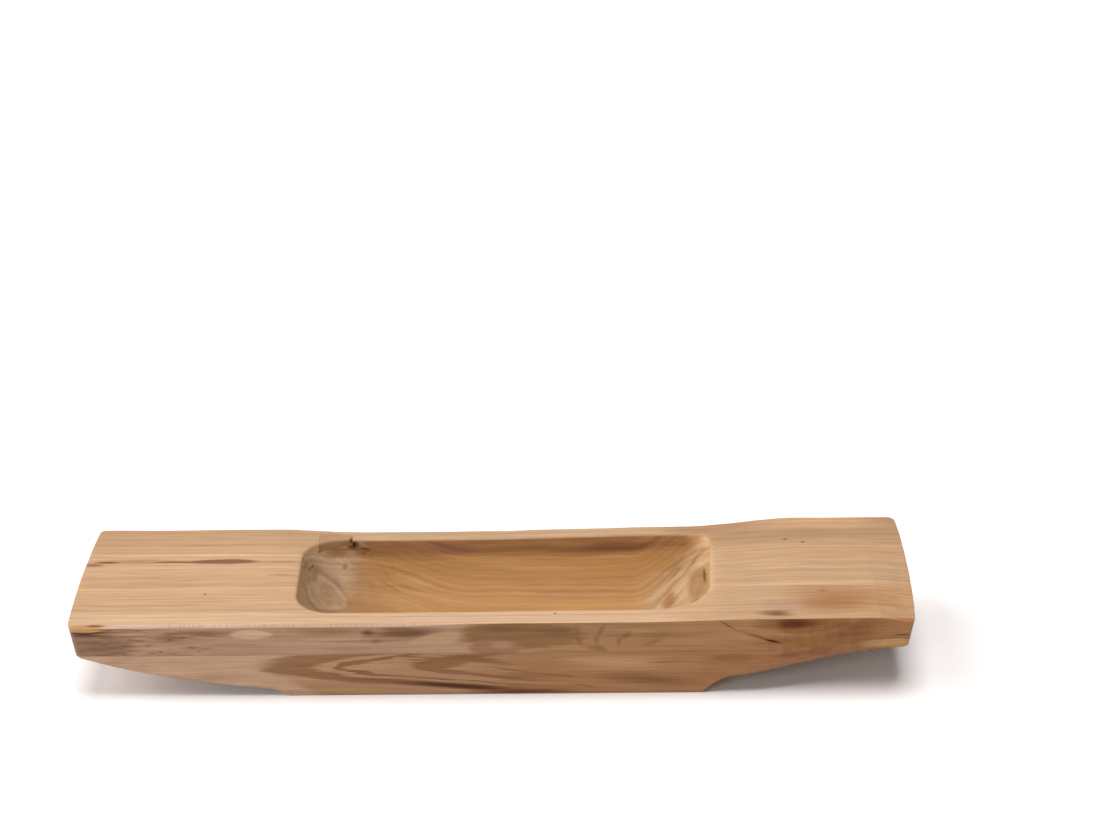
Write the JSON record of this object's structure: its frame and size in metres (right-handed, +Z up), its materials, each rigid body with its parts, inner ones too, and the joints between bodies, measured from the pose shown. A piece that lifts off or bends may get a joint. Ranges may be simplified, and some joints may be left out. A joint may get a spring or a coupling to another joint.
{
  "type": "wooden trough bowl",
  "caption": "Long hand-carved wooden trough bowl with solid end platforms, a rounded hollow and a low foot, glued up from boards.",
  "frame": {"origin": "middle of the bowl's box, on the plane that the foot stands on", "axes": "+X along the length towards the raised platform, +Y from the front to the back, +Z up"},
  "size_m": [0.5997, 0.144, 0.0658],
  "materials": {
    "upper_wood": "satin, oiled, hand-sanded",
    "lower_wood": "satin, oiled, hand-sanded",
    "patch_wood": "satin, oiled, hand-sanded",
    "set_glue": "set wood glue, dark with dust"
  },
  "bodies": {
    "root": {"lower_board": "lower_wood", "upper_board": "upper_wood", "rim_patch": "patch_wood", "board_glue": "set_glue", "patch_glue": "set_glue"}
  },
  "joints": []
}
